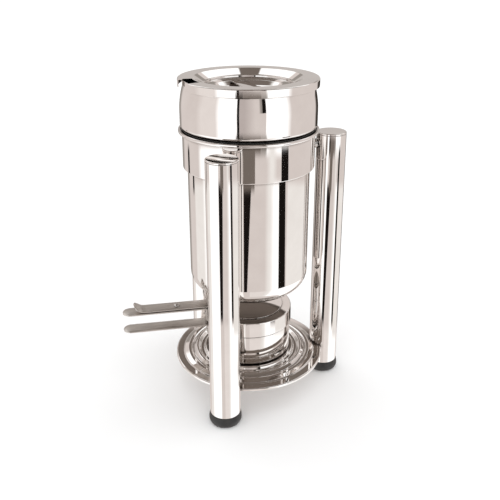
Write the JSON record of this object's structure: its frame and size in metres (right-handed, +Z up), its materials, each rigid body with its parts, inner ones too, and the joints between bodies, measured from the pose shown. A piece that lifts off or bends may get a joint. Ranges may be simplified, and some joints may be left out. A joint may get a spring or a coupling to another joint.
{
  "type": "soup kettle",
  "caption": "Free-standing lidded soup kettle: a round pot in a water pan, held by a ring of tubular legs over a draw-out fuel burner with a swinging damper.",
  "frame": {"origin": "middle of the bounding box in plan, on the plane that the feet stand on", "axes": "+Z up; +X from the kettle's axis to leg 2, away from the burner's handles; the XZ plane is the stand's plane of symmetry"},
  "size_m": [0.2958, 0.2322, 0.417],
  "materials": {
    "polished_steel": "mirror-polished stainless steel",
    "brushed_steel": "satin brushed stainless steel",
    "fastener_steel": "bright turned stainless steel",
    "rubber": "matte black rubber"
  },
  "bodies": {
    "stand": {"leg_1": "polished_steel", "leg_2": "polished_steel", "leg_3": "polished_steel", "leg_cap_1": "polished_steel", "leg_cap_2": "polished_steel", "leg_cap_3": "polished_steel", "foot_1": "rubber", "foot_2": "rubber", "foot_3": "rubber", "leg_spacer_1": "fastener_steel", "leg_spacer_2": "fastener_steel", "leg_spacer_3": "fastener_steel", "leg_bolt_1": "fastener_steel", "leg_bolt_2": "fastener_steel", "leg_bolt_3": "fastener_steel", "leg_nut_1": "fastener_steel", "leg_nut_2": "fastener_steel", "leg_nut_3": "fastener_steel", "jacket_band": "polished_steel", "water_pan": "polished_steel", "rim_ring": "polished_steel", "base_tray": "polished_steel", "tray_bracket_1": "brushed_steel", "tray_bracket_2": "brushed_steel", "tray_bracket_3": "brushed_steel", "tray_screw_1": "fastener_steel", "tray_screw_2": "fastener_steel", "tray_screw_3": "fastener_steel", "tray_nut_1": "fastener_steel", "tray_nut_2": "fastener_steel", "tray_nut_3": "fastener_steel"},
    "pot": {"soup_pot": "polished_steel", "seal_ring": "rubber"},
    "lid_set": {"lid": "polished_steel", "lid_bridge": "polished_steel"},
    "burner": {"burner_cup": "polished_steel", "cup_handle": "brushed_steel", "cup_rivet_1": "fastener_steel", "cup_rivet_2": "fastener_steel"},
    "cover": {"burner_cover": "polished_steel", "cover_handle": "brushed_steel", "cover_rivet_1": "fastener_steel", "cover_rivet_2": "fastener_steel", "pivot_rivet": "fastener_steel", "pivot_washer": "fastener_steel"},
    "damper": {"damper_disc": "polished_steel", "damper_lever": "brushed_steel"}
  },
  "joints": [
    {"name": "pot_lift", "type": "slide", "parent": "stand", "child": "pot", "axis": [0, 0, 1], "range_m": [0, 0.2]},
    {"name": "lid_lift", "type": "slide", "parent": "pot", "child": "lid_set", "axis": [0, 0, 1], "range_m": [0, 0.06]},
    {"name": "burner_draw", "type": "slide", "parent": "stand", "child": "burner", "axis": [-1, 0, 0], "range_m": [0, 0.17]},
    {"name": "cover_lift", "type": "slide", "parent": "burner", "child": "cover", "axis": [0, 0, 1], "range_m": [0, 0.02]},
    {"name": "damper_swing", "type": "hinge", "parent": "cover", "child": "damper", "pos_m": [-0.0769, 0, 0.115], "axis": [0, 0, 1], "range_deg": [-24, 24]}
  ]
}
